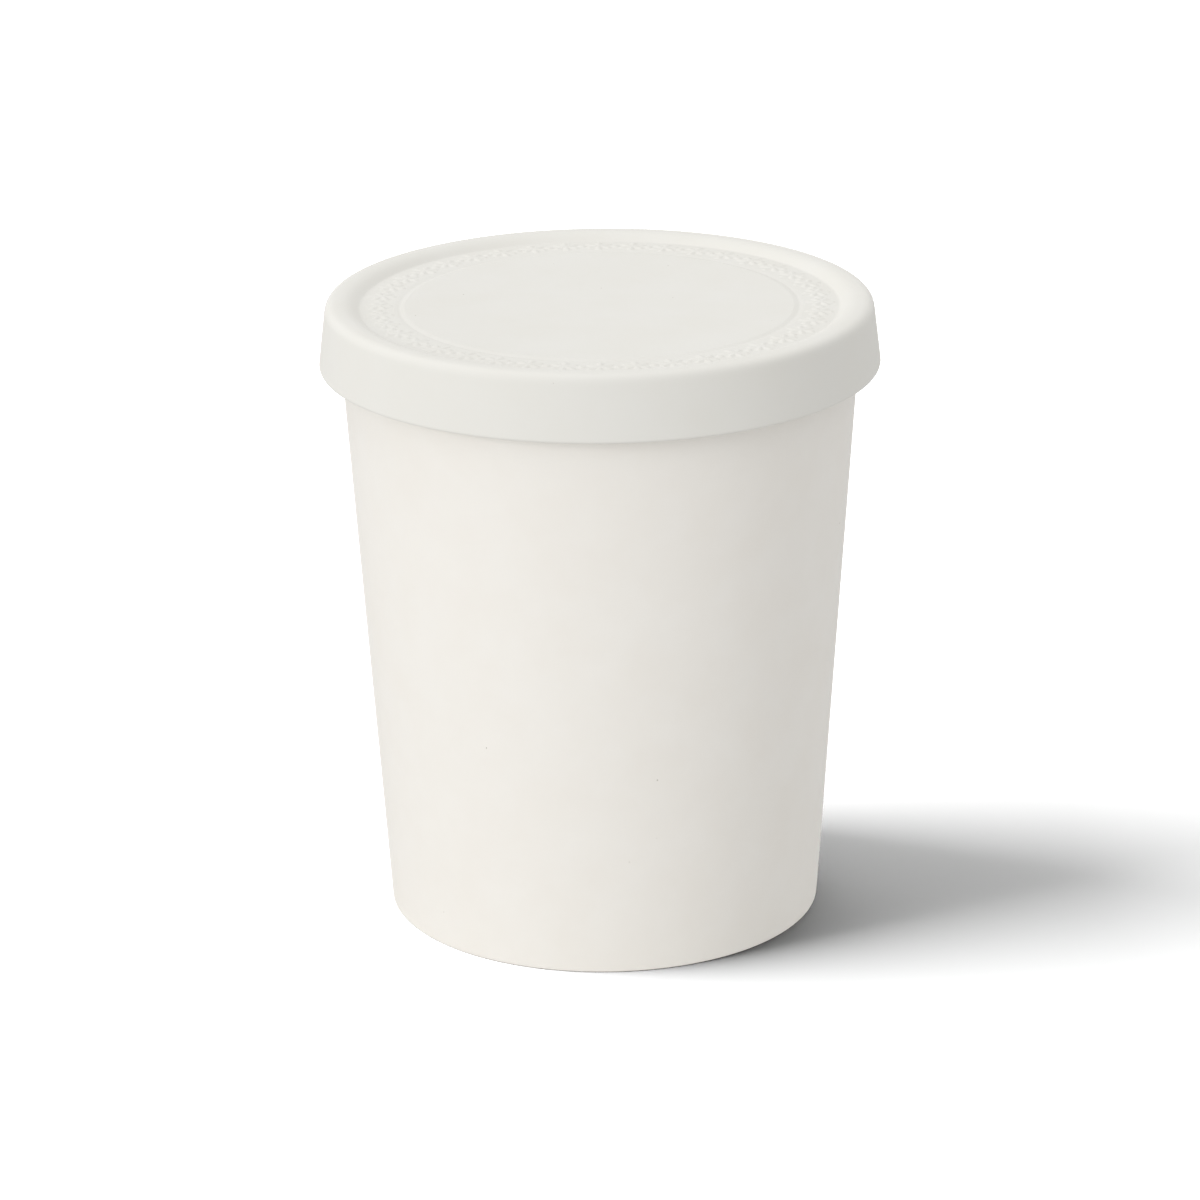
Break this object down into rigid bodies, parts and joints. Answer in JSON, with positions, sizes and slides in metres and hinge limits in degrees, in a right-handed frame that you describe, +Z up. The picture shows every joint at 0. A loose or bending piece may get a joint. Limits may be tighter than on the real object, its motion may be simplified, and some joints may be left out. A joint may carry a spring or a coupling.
{
  "type": "ice cream tub",
  "caption": "Shut round paperboard tub for ice cream, wider at the top, with a pressed-on plastic lid whose sunk panel has a raised ring of snow crystals.",
  "frame": {"origin": "centre of the foot, on the surface that the tub stands on", "axes": "+Z up along the tub's axis, -Y towards the front view"},
  "size_m": [0.096, 0.096, 0.1088],
  "materials": {
    "tub_board": "satin coated board",
    "lid_plastic": "matte"
  },
  "bodies": {
    "root": {"tub": "tub_board", "lid": "lid_plastic"}
  },
  "joints": []
}
